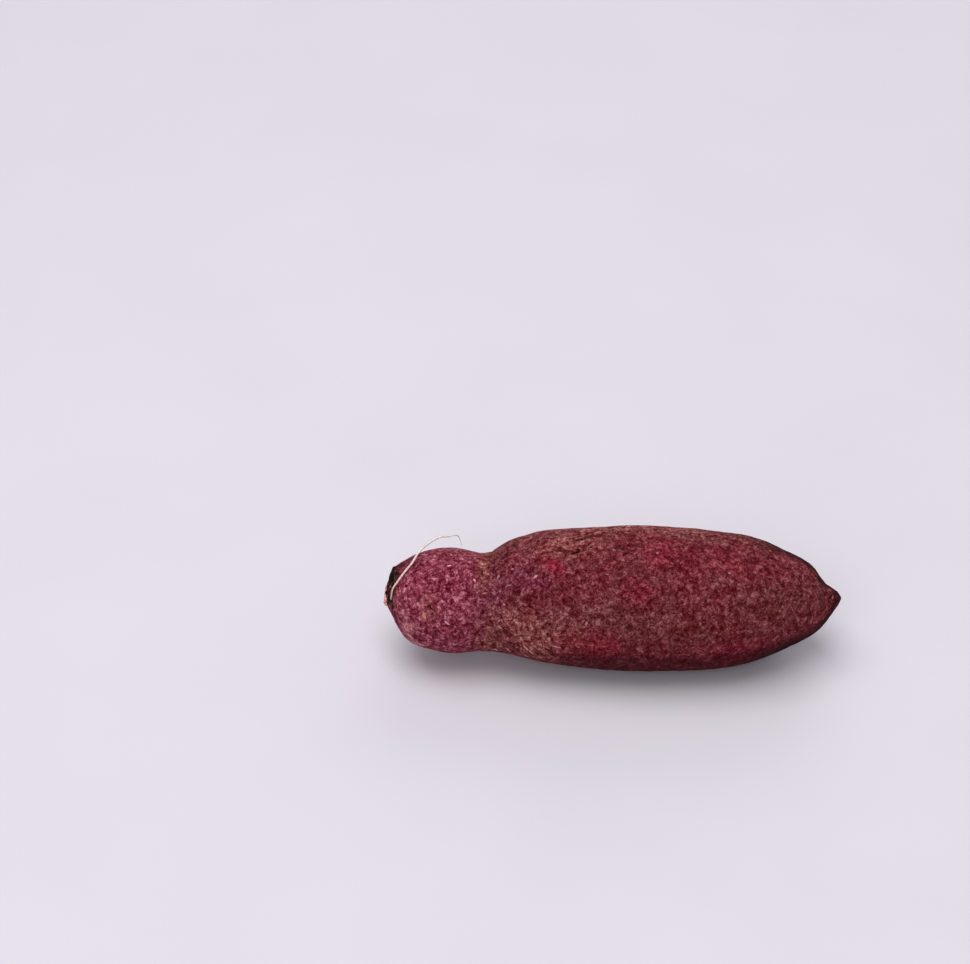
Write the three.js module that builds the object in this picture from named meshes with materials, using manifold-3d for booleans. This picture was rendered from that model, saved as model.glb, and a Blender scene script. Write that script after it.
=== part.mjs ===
// A purple sweet potato: one swollen root with a waisted lobe at its stalk end, a long full body,
// a tail that narrows to a nipple, and one hair root left on the stalk scar.
// It lies on its belly with its long axis along X, stalk end towards -X and +Z up, in millimetres.
// The origin is on the resting plane, under the middle of the object.
import * as THREE from "three";
import { mergeVertices } from "three/addons/utils/BufferGeometryUtils.js";
import Module from "manifold-3d";

// Overall sizes of the root.
const LENGTH = 125; // stalk end to tail tip
const BELLY_HEIGHT = 39.2; // up and down, where the root is thickest
const BELLY_WIDTH = 41.6; // across, where the root is thickest
const FLAT_DEPTH = 0.45; // how deep the resting spot is pressed into the round of the belly

// Sizes of its stretches. What lies between the lobe and the tail is the body.
const LOBE_LENGTH = 27.4; // stalk end to the waist
const LOBE_HEIGHT = 28.6;
const WAIST_HEIGHT = 26.9;
const TAIL_LENGTH = 34; // where the body starts to narrow, to the tail tip
const NIPPLE_LENGTH = 4.2;
const NIPPLE_HEIGHT = 11.2; // where the nipple leaves the tail

// How full each stretch is. "along" is how far along the stretch a point lies, and "full" is the
// root's height there, as a share of the lobe's height, or of the belly's for the body and tail.
const LOBE_PROFILE = [
  { along: 0.04, full: 0.295 }, // edge of the blunt end where the stalk broke off
  { along: 0.19, full: 0.706 },
  { along: 0.365, full: 0.9 },
  { along: 0.665, full: 1 },
];
const BODY_PROFILE = [
  { along: 0.13, full: 0.8 }, // the neck, just past the waist
  { along: 0.3, full: 0.916 },
  { along: 0.59, full: 1 }, // the belly
  { along: 0.81, full: 0.987 },
];
const TAIL_PROFILE = [
  { along: 0, full: 0.945 },
  { along: 0.29, full: 0.852 },
  { along: 0.547, full: 0.684 },
  { along: 0.756, full: 0.495 },
];
const NIPPLE_TIP = { along: 0.64, full: 0.47 }; // as shares of the nipple's own length and height

// Distances from the stalk end to a place in each stretch.
const inLobe = (along) => LOBE_LENGTH * along;
const inBody = (along) => THREE.MathUtils.lerp(LOBE_LENGTH, LENGTH - TAIL_LENGTH, along);
const inTail = (along) => LENGTH - TAIL_LENGTH * (1 - along);
const inNipple = (along) => LENGTH - NIPPLE_LENGTH * (1 - along);

// How far the middle of the root's section wanders from a straight axis, across and up.
const SPINE = [
  { from: 0, across: 1.4, up: 1.6 },
  { from: inLobe(0.26), across: 0.9, up: -1.3 },
  { from: inLobe(0.665), across: 0.8, up: -1.5 },
  { from: inLobe(1), across: 0.6, up: -1.2 },
  { from: inBody(0.13), across: 0.5, up: 0.4 },
  { from: inBody(0.59), across: 0, up: 0.4 },
  { from: inTail(0.29), across: -0.4, up: -0.3 },
  { from: inNipple(0), across: -0.6, up: -0.4 },
  { from: LENGTH, across: -0.8, up: 0.7 },
];

// Broad swellings and hollows of the skin, each a soft round hump. "angle" is in degrees round the
// root, from +Y over the top, "rise" is its height, and "run" and "arc" are how far it spreads
// along the root, in millimetres, and round it, in degrees.
const HUMPS = [
  { from: 2.6, angle: 235, rise: 0.45, run: 4, arc: 50 }, // swelling under the stalk scar
  { from: inLobe(0.47), angle: 250, rise: -0.6, run: 8, arc: 36 },
  { from: inLobe(0.55), angle: 95, rise: 0.5, run: 7, arc: 40 },
  { from: LOBE_LENGTH + 0.4, angle: 50, rise: -0.7, run: 3, arc: 38 }, // notch over the waist
  { from: LOBE_LENGTH + 1.2, angle: 138, rise: -0.5, run: 3, arc: 34 }, // fold below the notch
  { from: inBody(0.27), angle: 320, rise: 0.9, run: 11, arc: 34 },
  { from: inBody(0.36), angle: 165, rise: -0.6, run: 12, arc: 24 },
  { from: inBody(0.59), angle: 20, rise: -0.9, run: 16, arc: 26 },
  { from: inBody(0.69), angle: 120, rise: 0.5, run: 16, arc: 26 },
  { from: inTail(0), angle: 345, rise: 0.8, run: 12, arc: 30 },
  { from: inTail(0.29), angle: 55, rise: 0.5, run: 9, arc: 34 },
  { from: inTail(0.547), angle: 200, rise: -0.7, run: 7, arc: 30 },
  { from: inTail(0.73), angle: 50, rise: 0.4, run: 4, arc: 36 },
  { from: inTail(0.87), angle: 228, rise: 0.7, run: 3, arc: 40 },
  { from: inNipple(0), angle: 55, rise: -0.7, run: 2.4, arc: 50 }, // flare of the nipple
];

// Shallow flutes that run the length of the root: how many go round it, their depth as a share of
// the radius, and how far they twist from the stalk end to the tail tip, in degrees.
const FLUTES = [
  { count: 3, depth: 0.012, phase: 25, twist: 60 },
  { count: 5, depth: 0.006, phase: 70, twist: -90 },
];

// The hair root: a thread that leaves the stalk scar, lies over the lobe, lifts off it and droops
// back. "over" is the distance over the skin from the middle of the scar, "angle" is as above, and
// "lift" is how much higher it is than where it lies closest.
const HAIR_DIAMETER = 0.6;
const HAIR_GAP = 0.3; // clear space between the thread and the skin where it lies closest
const HAIR_ROUTE = [
  { over: 5.8, angle: 156, lift: 0 },
  { over: 7.8, angle: 131, lift: 0.1 },
  { over: 11.2, angle: 110, lift: 0.2 },
  { over: 13.7, angle: 98, lift: 0.4 },
  { over: 15.3, angle: 93, lift: 0.7 },
  { over: 17, angle: 84, lift: 1.4 },
  { over: 19, angle: 77, lift: 2 },
  { over: 21.2, angle: 71, lift: 2.5 },
  { over: 23.3, angle: 68, lift: 3 },
  { over: 25.2, angle: 67, lift: 2.9 },
  { over: 26.8, angle: 64, lift: 3.1 },
  { over: 27.5, angle: 59, lift: 2.2 },
  { over: 28.1, angle: 56, lift: 0.9 },
  { over: 28.5, angle: 55, lift: 0.1 },
];

// How finely the surfaces are cut into faces.
const RINGS = 64;
const SIDES = 44;
const HAIR_SIDES = 8;
const HAIR_STEPS = 48;

const radians = THREE.MathUtils.degToRad;

// The root's outline: x is the distance from the stalk end and y half the height there.
function makeOutline() {
  const halfHeights = [
    [0, 0],
    ...LOBE_PROFILE.map((p) => [inLobe(p.along), (p.full * LOBE_HEIGHT) / 2]),
    [inLobe(1), WAIST_HEIGHT / 2],
    ...BODY_PROFILE.map((p) => [inBody(p.along), (p.full * BELLY_HEIGHT) / 2]),
    ...TAIL_PROFILE.map((p) => [inTail(p.along), (p.full * BELLY_HEIGHT) / 2]),
    [inNipple(0), NIPPLE_HEIGHT / 2],
    [inNipple(NIPPLE_TIP.along), (NIPPLE_TIP.full * NIPPLE_HEIGHT) / 2],
    [LENGTH, 0],
  ];
  const outline = new THREE.SplineCurve(halfHeights.map((point) => new THREE.Vector2(...point)));
  outline.arcLengthDivisions = 1000;
  return outline;
}

const outline = makeOutline();
const outlineLength = outline.getLength();

// The middle of the section at a distance from the stalk end, eased between the spine's points.
function spineAt(from) {
  const next = Math.max(1, SPINE.findIndex((point) => from <= point.from));
  const [start, end] = [SPINE[next - 1], SPINE[next]];
  const share = THREE.MathUtils.smoothstep(from, start.from, end.from);
  return {
    across: THREE.MathUtils.lerp(start.across, end.across, share),
    up: THREE.MathUtils.lerp(start.up, end.up, share),
  };
}

// How far the humps lift the skin at one place.
function humpsAt(from, angle) {
  let rise = 0;
  for (const hump of HUMPS) {
    const turn = angle - radians(hump.angle);
    const round = Math.atan2(Math.sin(turn), Math.cos(turn)) / radians(hump.arc);
    const along = (from - hump.from) / hump.run;
    rise += hump.rise * Math.exp(-along * along - round * round);
  }
  return rise;
}

// How much the flutes widen the section at one place, as a share of its radius.
function flutesAt(from, angle) {
  let share = 0;
  for (const flute of FLUTES) {
    const turned = radians(flute.phase + (flute.twist * from) / LENGTH);
    share += flute.depth * Math.cos(flute.count * angle + turned);
  }
  return share;
}

// The point on the skin at a distance over it from the stalk end, lifted off it if asked.
function skinPoint(over, angle, lift = 0) {
  const { x: from, y: halfHeight } = outline.getPointAt(over / outlineLength);
  const slope = outline.getTangentAt(over / outlineLength);
  const middle = spineAt(from);
  const fade = Math.min(1, halfHeight / outline.points[1].y); // both ends close on the axis
  const radius = halfHeight * (1 + flutesAt(from, angle)) + fade * humpsAt(from, angle);
  const out = radius + lift * slope.x;
  return new THREE.Vector3(
    from - lift * slope.y,
    middle.across + out * Math.cos(angle) * (BELLY_WIDTH / BELLY_HEIGHT),
    middle.up + out * Math.sin(angle),
  );
}

// The whole skin as one closed surface: a pole at each end and rings of points between them.
function makeSkin() {
  const points = [skinPoint(0, 0)];
  for (let ring = 1; ring < RINGS; ring++) {
    for (let side = 0; side < SIDES; side++) {
      points.push(skinPoint((outlineLength * ring) / RINGS, (2 * Math.PI * side) / SIDES));
    }
  }
  points.push(skinPoint(outlineLength, 0));

  const stalkPole = 0;
  const tailPole = points.length - 1;
  const at = (ring, side) => 1 + (ring - 1) * SIDES + (side % SIDES);
  const faces = [];
  for (let side = 0; side < SIDES; side++) {
    faces.push(stalkPole, at(1, side + 1), at(1, side));
    faces.push(tailPole, at(RINGS - 1, side), at(RINGS - 1, side + 1));
    for (let ring = 1; ring < RINGS - 1; ring++) {
      const [a, b] = [at(ring, side), at(ring, side + 1)];
      const [c, d] = [at(ring + 1, side + 1), at(ring + 1, side)];
      faces.push(a, b, c, a, c, d);
    }
  }
  const skin = new THREE.BufferGeometry().setFromPoints(points);
  skin.setIndex(faces);
  return skin;
}

const wasm = await Module();
wasm.setup();

function toSolid(geometry) {
  const bare = new THREE.BufferGeometry();
  bare.setAttribute("position", geometry.getAttribute("position"));
  bare.setIndex(geometry.getIndex());
  const merged = mergeVertices(bare, 1e-4);
  return new wasm.Manifold(
    new wasm.Mesh({
      numProp: 3,
      vertProperties: merged.getAttribute("position").array,
      triVerts: new Uint32Array(merged.getIndex().array),
    }),
  );
}

function toGeometry(solid) {
  const { vertProperties, triVerts } = solid.getMesh();
  const geometry = new THREE.BufferGeometry();
  geometry.setAttribute("position", new THREE.BufferAttribute(vertProperties, 3));
  geometry.setIndex(new THREE.BufferAttribute(triVerts, 1));
  geometry.computeVertexNormals();
  return geometry;
}

// The root with its resting spot: what lies below the resting plane is cut away flat.
function makeTuber() {
  const skin = makeSkin();
  skin.computeBoundingBox();
  const { min, max } = skin.boundingBox;
  const restingHeight = min.z + FLAT_DEPTH;
  const depth = BELLY_HEIGHT;
  const below = new THREE.BoxGeometry(2 * LENGTH, 2 * BELLY_WIDTH, depth);
  below.translate((min.x + max.x) / 2, (min.y + max.y) / 2, restingHeight - depth / 2);
  return { geometry: toGeometry(toSolid(skin).subtract(toSolid(below))), restingHeight };
}

function makeHairRoot() {
  const radius = HAIR_DIAMETER / 2;
  const route = HAIR_ROUTE.map((p) => skinPoint(p.over, radians(p.angle), HAIR_GAP + radius + p.lift));
  const corners = Array.from({ length: HAIR_SIDES }, (_, side) => {
    const turn = (2 * Math.PI * side) / HAIR_SIDES;
    return new THREE.Vector2(radius * Math.cos(turn), radius * Math.sin(turn));
  });
  return new THREE.ExtrudeGeometry(new THREE.Shape(corners), {
    steps: HAIR_STEPS,
    extrudePath: new THREE.CatmullRomCurve3(route),
  });
}

const SKIN = new THREE.MeshStandardMaterial({ color: 0x6e2f38, roughness: 0.72, metalness: 0 });
const THREAD = new THREE.MeshStandardMaterial({ color: 0xc9b8a4, roughness: 0.8, metalness: 0 });

function named(name, geometry, material) {
  const mesh = new THREE.Mesh(geometry, material);
  mesh.name = name;
  return mesh;
}

const { geometry: tuberGeometry, restingHeight } = makeTuber();
const sweetPotato = new THREE.Group();
sweetPotato.add(named("tuber", tuberGeometry, SKIN));
sweetPotato.add(named("hair_root", makeHairRoot(), THREAD));

// The origin goes under the middle of the object, on the resting plane.
const middle = new THREE.Box3().setFromObject(sweetPotato).getCenter(new THREE.Vector3());
sweetPotato.position.set(-middle.x, -middle.y, -restingHeight);

export default sweetPotato;
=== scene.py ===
"""A purple sweet potato lying on its belly on a pale floor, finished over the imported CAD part.

Places on the skin are given by "along", the distance from the stalk end in millimetres, and
"around", the angle in degrees round the root's middle line, from +Y over the top. Lengths are in
millimetres until a mesh is made.
"""

import math

import bpy
import numpy as np
from mathutils import Matrix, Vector
from mathutils.bvhtree import BVHTree


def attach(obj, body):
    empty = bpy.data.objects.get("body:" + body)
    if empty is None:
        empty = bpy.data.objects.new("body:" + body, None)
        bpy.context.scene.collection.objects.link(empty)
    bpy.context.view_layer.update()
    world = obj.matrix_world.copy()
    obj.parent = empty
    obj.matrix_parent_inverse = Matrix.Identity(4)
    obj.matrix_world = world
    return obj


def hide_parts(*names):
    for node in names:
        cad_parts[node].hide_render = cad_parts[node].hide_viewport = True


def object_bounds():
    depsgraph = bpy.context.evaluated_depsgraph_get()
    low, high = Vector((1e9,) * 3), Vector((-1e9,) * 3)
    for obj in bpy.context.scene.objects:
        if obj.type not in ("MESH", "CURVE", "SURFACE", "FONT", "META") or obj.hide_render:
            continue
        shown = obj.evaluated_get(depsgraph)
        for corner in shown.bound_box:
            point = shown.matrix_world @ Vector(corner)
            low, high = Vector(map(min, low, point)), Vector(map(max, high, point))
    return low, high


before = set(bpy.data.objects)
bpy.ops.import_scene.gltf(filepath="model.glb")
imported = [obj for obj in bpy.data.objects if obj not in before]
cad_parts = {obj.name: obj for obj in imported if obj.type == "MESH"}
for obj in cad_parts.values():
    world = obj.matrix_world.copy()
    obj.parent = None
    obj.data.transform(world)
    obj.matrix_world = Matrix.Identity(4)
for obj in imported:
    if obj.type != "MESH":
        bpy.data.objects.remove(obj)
cad_low, cad_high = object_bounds()

MM = 0.001
LENGTH_MM = (cad_high[0] - cad_low[0]) / MM  # the root's own length

ROWS = 452  # rows of skin points between the two poles
COLUMNS = 216  # skin points round the root
SEAM = -90  # where the first column lies and the skin's map is cut open: under the belly


# -------------------------------- numbers over the skin


def smoothstep(low, high, value):
    share = np.clip((value - low) / (high - low), 0, 1)
    return share * share * (3 - 2 * share)


NOISE_VALUES = 4096  # a power of two
NOISE_KEYS = (73856093, 19349663, 83492791)  # they scatter the cells over the values


def soft_noise(points, size, seed):
    """Smooth noise from -1 to 1 at points in millimetres, with lumps about size across."""
    table = np.random.RandomState(seed).uniform(-1, 1, NOISE_VALUES)
    scaled = points / size + seed * 0.37
    cell = np.floor(scaled)
    ease = scaled - cell
    ease = ease * ease * (3 - 2 * ease)
    cell = cell.astype(np.int64)
    total = np.zeros(points.shape[:-1])
    for corner in np.ndindex(2, 2, 2):
        at = (cell + np.array(corner)) * NOISE_KEYS
        key = at[..., 0] ^ at[..., 1] ^ at[..., 2]
        weight = np.prod(np.where(np.array(corner) == 1, ease, 1 - ease), axis=-1)
        total += table[key & (NOISE_VALUES - 1)] * weight
    return total


def rough_noise(points, size, seed, octaves=3):
    """soft_noise with finer, weaker noise added to it."""
    layers = [soft_noise(points, size / 2**i, seed + i) / 2**i for i in range(octaves)]
    return sum(layers) / 1.6


def past_the_poles(grid, reach):
    """The grid with reach more rows at each end, which go on down the far side of the pole."""
    half_turn = COLUMNS // 2
    before = np.roll(grid[1 : reach + 1][::-1], half_turn, axis=1)
    after = np.roll(grid[-reach - 1 : -1][::-1], half_turn, axis=1)
    return np.concatenate([before, grid, after])


def bell(steps, spread):
    weights = np.exp(-0.5 * (steps / spread) ** 2)
    return weights / weights.sum()


def blurred(grid, spread_rows, spread_columns):
    """The grid smoothed along and round the root."""
    rows = len(grid)
    reach = int(3 * max(spread_rows, spread_columns)) + 1
    steps = np.arange(-reach, reach + 1)
    padded = past_the_poles(grid, reach)
    lengthways = zip(bell(steps, spread_rows), steps)
    grid = sum(w * padded[reach + s : reach + s + rows] for w, s in lengthways)
    sideways = zip(bell(steps, spread_columns), steps)
    return sum(w * np.roll(grid, -s, axis=1) for w, s in sideways)


def join_poles(points):
    """Draws each end row of the grid together into one point."""
    points[0] = points[0].mean(axis=0)
    points[-1] = points[-1].mean(axis=0)


class Skin:
    """A grid of points over the root: rows from the stalk end to the tail tip, columns round it."""

    def __init__(self, points):
        self.points = points
        self.start = points[..., 0].min()
        self.middle = points[..., 1:].mean(axis=(0, 1))
        self.measure()

    def measure(self):
        """Works out which way the skin faces, and where each point is along and around the root."""
        padded = past_the_poles(self.points, 1)
        forward = padded[2:] - padded[:-2]
        sideways = np.roll(self.points, -1, axis=1) - np.roll(self.points, 1, axis=1)
        normals = np.cross(sideways, forward)
        normals[0] = normals[1].mean(axis=0)
        normals[-1] = normals[-2].mean(axis=0)
        self.normals = normals / np.linalg.norm(normals, axis=-1, keepdims=True)
        self.along = self.points[..., 0] - self.start
        offset = self.points[..., 1:] - self.middle
        self.around = np.degrees(np.arctan2(offset[..., 1], offset[..., 0])) % 360

    def raise_by(self, heights):
        """Lifts the skin along its own normals, never below the floor."""
        self.points = self.points + self.normals * heights[..., None]
        join_poles(self.points)
        self.points[..., 2] = np.maximum(self.points[..., 2], 0)
        self.measure()

    def at(self, along, around):
        """The row and column of the point nearest to a place."""
        turn = (self.around - around + 180) % 360 - 180
        girth = np.linalg.norm(self.points[..., 1:] - self.middle, axis=-1)
        off = (self.along - along) ** 2 + (np.radians(turn) * girth) ** 2
        return np.unravel_index(off.argmin(), off.shape)

    def spot(self, along, around, turn=0):
        """A place on the skin: its point, the ways along and across it, and the way it faces.

        Both ways are turned by turn degrees, anticlockwise to someone who looks at the skin."""
        place = self.at(along, around)
        normal = self.normals[place]
        forward = np.array([1.0, 0, 0]) - normal[0] * normal
        forward /= np.linalg.norm(forward)
        across = np.cross(normal, forward)
        lean = math.radians(turn)
        length_way = math.cos(lean) * forward + math.sin(lean) * across
        width_way = math.cos(lean) * across - math.sin(lean) * forward
        return self.points[place], length_way, width_way, normal

    def offsets(self, along, around, turn=0):
        """How far each point lies from a place, lengthways and across. Points on the far side of
        the root are put out of reach."""
        centre, length_way, width_way, normal = self.spot(along, around, turn)
        away = self.points - centre
        hidden = np.where(self.normals @ normal < 0.1, 1e3, 0)
        return away @ length_way + hidden, away @ width_way + hidden


# -------------------------------- the skin's shape

# Rays that find the CAD skin start from a point inside the lobe, from one inside the tail, and from
# the line between them. Each point is as far in from its end of the root as given here.
LOBE_CORE = 13
TAIL_CORE = 21
END_RAYS = 160
MIDDLE_RAYS = 320

# How many rows and columns the CAD skin's facets are smoothed over, and less so at the sharp tip.
BODY_BLUR = (3.5, 2.6)
TIP_BLUR = (0.8, 2.6)
TIP_FROM, TIP_WHOLLY = 14, 6  # how far from the tip the change starts and ends, in millimetres
TIP_DRAWN_OUT = 0.5  # gives back the sharp tip that the smoothing wears off, in millimetres


def cad_mesh_mm(node):
    """The corners of a CAD node in millimetres, and its faces."""
    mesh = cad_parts[node].data
    corners = np.zeros(len(mesh.vertices) * 3)
    mesh.vertices.foreach_get("co", corners)
    return corners.reshape(-1, 3) / MM, [tuple(p.vertices) for p in mesh.polygons]


def evenly_spaced(line, count):
    """Points at equal steps along a line of points."""
    travelled = np.concatenate([[0], np.linalg.norm(np.diff(line, axis=0), axis=1).cumsum()])
    even = np.linspace(0, travelled[-1], count)
    return np.stack([np.interp(even, travelled, line[:, i]) for i in range(3)], axis=1)


def skin_from_cad():
    """Rays from inside the root find the CAD skin, and each column is then spaced out evenly."""
    corners, faces = cad_mesh_mm("tuber")
    tree = BVHTree.FromPolygons(corners.tolist(), faces)
    stalk_end = corners[corners[:, 0].argmin()]
    tail_tip = corners[corners[:, 0].argmax()]
    lobe_core = stalk_end + np.array([LOBE_CORE, 0, 0])
    tail_core = tail_tip - np.array([TAIL_CORE, 0, 0])

    fan = np.radians(np.linspace(0, 90, END_RAYS, endpoint=False))
    slide = np.linspace(0, 1, MIDDLE_RAYS)
    tilts = np.concatenate([fan, np.full(MIDDLE_RAYS, math.pi / 2), math.pi - fan[::-1]])
    shares = np.concatenate([np.zeros(END_RAYS), slide, np.ones(END_RAYS)])

    columns = []
    for column in range(COLUMNS):
        turn = math.radians(SEAM + 360 * column / COLUMNS)
        hits = []
        for tilt, share in zip(tilts, shares):
            origin = lobe_core + (tail_core - lobe_core) * share
            out = math.sin(tilt)
            direction = (-math.cos(tilt), out * math.cos(turn), out * math.sin(turn))
            hit = tree.ray_cast(origin.tolist(), direction)[0]
            if hit is not None:  # a ray along an edge can slip between two faces
                hits.append(tuple(hit))
        columns.append(evenly_spaced(np.array(hits), ROWS + 2))
    return np.stack(columns, axis=1)


def smooth_skin():
    """The CAD skin with its facets smoothed away, and less smoothing at the sharp tail tip."""
    raw = skin_from_cad()
    body = blurred(raw, *BODY_BLUR)
    tip = blurred(raw, *TIP_BLUR)
    near_tip = smoothstep(TIP_FROM, TIP_WHOLLY, raw[..., 0].max() - raw[..., 0])[..., None]
    points = body * (1 - near_tip) + tip * near_tip
    join_poles(points)
    points[..., 2] = np.maximum(points[..., 2], 0)
    points[..., 0] += TIP_DRAWN_OUT * smoothstep(3, 0, points[..., 0].max() - points[..., 0])
    return Skin(points)


# The stalk scar: a dished face at the stalk end, tilted a little up, with a ragged rim.
SCAR_RADIUS = 5.3
SCAR_FACING = (-0.957, -0.078, 0.284)
SCAR_SINK = 1.25  # how far under the round of the skin the scar's rim lies
SCAR_DEPTH = 0.7
SCAR_EDGE = 0.35  # half the width over which the scar's face turns into skin
SCAR_REACH = 9  # how far along the root the scar and the folds round it go
FOLD_HEIGHT, FOLD_REACH = 0.3, 3
RIM_HEIGHT, RIM_WIDTH = 0.2, 0.45


def scar_frame(skin):
    """The scar's middle, the way it faces, and two directions across it, the second one up.

    The scar lies where the round of the stalk end faces the same way."""
    facing = np.array(SCAR_FACING) / np.linalg.norm(SCAR_FACING)
    stalk_end = np.where(skin.along < 10, skin.normals @ facing, -1)
    place = np.unravel_index(stalk_end.argmax(), stalk_end.shape)
    side = np.cross([0.0, 0, 1], facing)
    side /= np.linalg.norm(side)
    return skin.points[place] - SCAR_SINK * facing, facing, side, np.cross(facing, side)


def cut_scar(skin, scar):
    """Flattens and dishes the stalk end, and gathers the skin round it in small folds.

    Gives back how much each point belongs to the scar's face and to its rim."""
    middle, facing, side, up = scar
    away = skin.points - middle
    height = away @ facing
    radius = np.hypot(away @ side, away @ up)
    turn = np.arctan2(away @ up, away @ side)
    nearby = (height > -6) & (skin.along < SCAR_REACH)

    ring = np.stack([np.cos(turn), np.sin(turn), 0.12 * radius], axis=-1)
    folds = rough_noise(ring * 3.2, 1, 13) * np.exp(-(((radius - SCAR_RADIUS) / FOLD_REACH) ** 2))
    skin.points = skin.points + skin.normals * np.where(nearby, FOLD_HEIGHT * folds, 0)[..., None]

    radius = radius + 0.5 * soft_noise(ring * 1.7, 1, 15) + 0.2 * rough_noise(skin.points, 2.2, 11)
    inside = smoothstep(SCAR_RADIUS + SCAR_EDGE, SCAR_RADIUS - SCAR_EDGE, radius)
    inside = np.where(nearby, inside, 0)
    dish = SCAR_DEPTH * (1 - np.clip(radius / SCAR_RADIUS, 0, 1) ** 2)
    ragged = 0.22 * rough_noise(skin.points, 1.3, 17)
    skin.points = skin.points + facing * ((ragged - dish - height) * inside)[..., None]

    rim = np.where(nearby, np.exp(-(((radius - SCAR_RADIUS - 0.2) / RIM_WIDTH) ** 2)), 0)
    rim_height = RIM_HEIGHT * (0.4 + rough_noise(skin.points, 1.6, 23))
    skin.points = skin.points + facing * (rim * rim_height)[..., None]
    skin.measure()
    return inside, rim


# Grooves in the skin: where the middle is, half the length and width, the depth, and how many
# degrees it is turned from the root's own direction. Where no turn is given, it is 0.
CREASES = [
    {"along": 52.1, "around": 101, "length": 1.9, "width": 0.4, "depth": 0.35, "turn": 15},
    {"along": 53.6, "around": 84.5, "length": 2.4, "width": 0.4, "depth": 0.25, "turn": 12},
    {"along": 76, "around": 62, "length": 2.2, "width": 0.4, "depth": 0.25, "turn": 10},
    {"along": 88, "around": 320, "length": 2.4, "width": 0.45, "depth": 0.3, "turn": -12},
    {"along": 61, "around": 20, "length": 2.8, "width": 0.45, "depth": 0.35, "turn": 7},
    {"along": 97, "around": 40, "length": 2, "width": 0.4, "depth": 0.25, "turn": -20},
]

# Folds that run part of the way round the root, by the waist.
FOLDS = [
    {"along": 28.9, "around": 78, "length": 0.65, "width": 9, "depth": 0.5, "turn": 6},
    {"along": 26.6, "around": 112, "length": 0.6, "width": 6, "depth": 0.28, "turn": -9},
    {"along": 30.2, "around": 205, "length": 0.7, "width": 6.5, "depth": 0.35, "turn": -6},
    {"along": 27.2, "around": 300, "length": 0.7, "width": 8, "depth": 0.4, "turn": 5},
]

# Small dark pits, and scars of other roots that broke off: shallow dents with a raised lip.
PITS = [
    {"along": 44.6, "around": 177, "length": 0.5, "width": 0.5, "depth": 0.3},
    {"along": 44.9, "around": 166, "length": 0.45, "width": 0.45, "depth": 0.25},
    {"along": 13.4, "around": 113, "length": 0.4, "width": 0.4, "depth": 0.2},
    {"along": 12.5, "around": 153, "length": 0.45, "width": 0.45, "depth": 0.2},
]
ROOT_SCARS = [
    {"along": 71, "around": 70, "size": 1.1, "depth": 0.3},
    {"along": 37, "around": 40, "size": 0.9, "depth": 0.25},
    {"along": 84, "around": 25, "size": 1.2, "depth": 0.35},
    {"along": 103, "around": 75, "size": 0.9, "depth": 0.22},
    {"along": 60, "around": 340, "size": 1.2, "depth": 0.35},
    {"along": 98, "around": 330, "size": 0.9, "depth": 0.3},
    {"along": 43, "around": 300, "size": 1, "depth": 0.3},
    {"along": 79, "around": 245, "size": 1.1, "depth": 0.25},
    {"along": 20, "around": 330, "size": 0.8, "depth": 0.25},
    {"along": 112, "around": 20, "size": 0.8, "depth": 0.2},
]


def place_of(mark):
    """Where a mark lies and how far it is turned, as Skin.spot and Skin.offsets take it."""
    return mark["along"], mark["around"], mark.get("turn", 0)


def crease_share(skin, mark):
    """How deep each point lies in a crease or a pit, from 0 to 1. Long ones wander a little."""
    length_way, width_way = skin.offsets(*place_of(mark))
    if mark["length"] > mark["width"]:
        wander = np.sin(length_way * 1.9 + mark["along"])
        width_way = width_way + 0.25 * mark["width"] * wander
    return np.exp(-((length_way / mark["length"]) ** 4) - (width_way / mark["width"]) ** 2)


def fold_share(skin, mark):
    """How deep each point lies in a bowed fold, from 0 to 1."""
    length_way, width_way = skin.offsets(*place_of(mark))
    bow = length_way + 0.25 * np.sin(width_way * 0.7)
    return np.exp(-((bow / mark["length"]) ** 2) - (width_way / mark["width"]) ** 4)


def lumps(skin):
    """The height of the skin's uneven form, from broad lumps that fade at both ends to fine grain."""
    points = skin.points
    small_ends = smoothstep(0, 12, skin.along) * smoothstep(0, 9, LENGTH_MM - skin.along)
    height = 0.34 * soft_noise(points, 17, 3) * small_ends
    height += 0.17 * rough_noise(points * np.array([0.7, 1, 1]), 6.5, 5) * small_ends
    height += 0.075 * rough_noise(points, 2.1, 8)
    height += 0.04 * soft_noise(points * np.array([2.2, 1, 1]), 3.2, 31)
    return height


def skin_relief(skin):
    """The height of the skin's relief, and how much painted shade darkens each point in its
    creases, folds, pits and root scars, from 0 to 1.
    """
    height = lumps(skin)
    hollow_shade = np.zeros(height.shape)
    # The darkness in creases, folds, pits and root scars is painted shade.
    for marks, share_of, darkness in (
        (CREASES, crease_share, 1),
        (FOLDS, fold_share, 0.45),
        (PITS, crease_share, 0.9),
    ):
        for mark in marks:
            share = share_of(skin, mark)
            height -= mark["depth"] * share
            hollow_shade = np.maximum(hollow_shade, darkness * share)
    for mark in ROOT_SCARS:
        length_way, width_way = skin.offsets(*place_of(mark))
        reach = np.hypot(length_way / 0.7, width_way / 1.3) / mark["size"]
        height -= mark["depth"] * np.exp(-(reach**2))
        height += 0.35 * mark["depth"] * np.exp(-(((reach - 1.5) / 0.5) ** 2))
        hollow_shade = np.maximum(hollow_shade, 0.75 * np.exp(-((reach * 1.25) ** 2)))
    return height, hollow_shade


# -------------------------------- zones of colour on the skin

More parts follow.
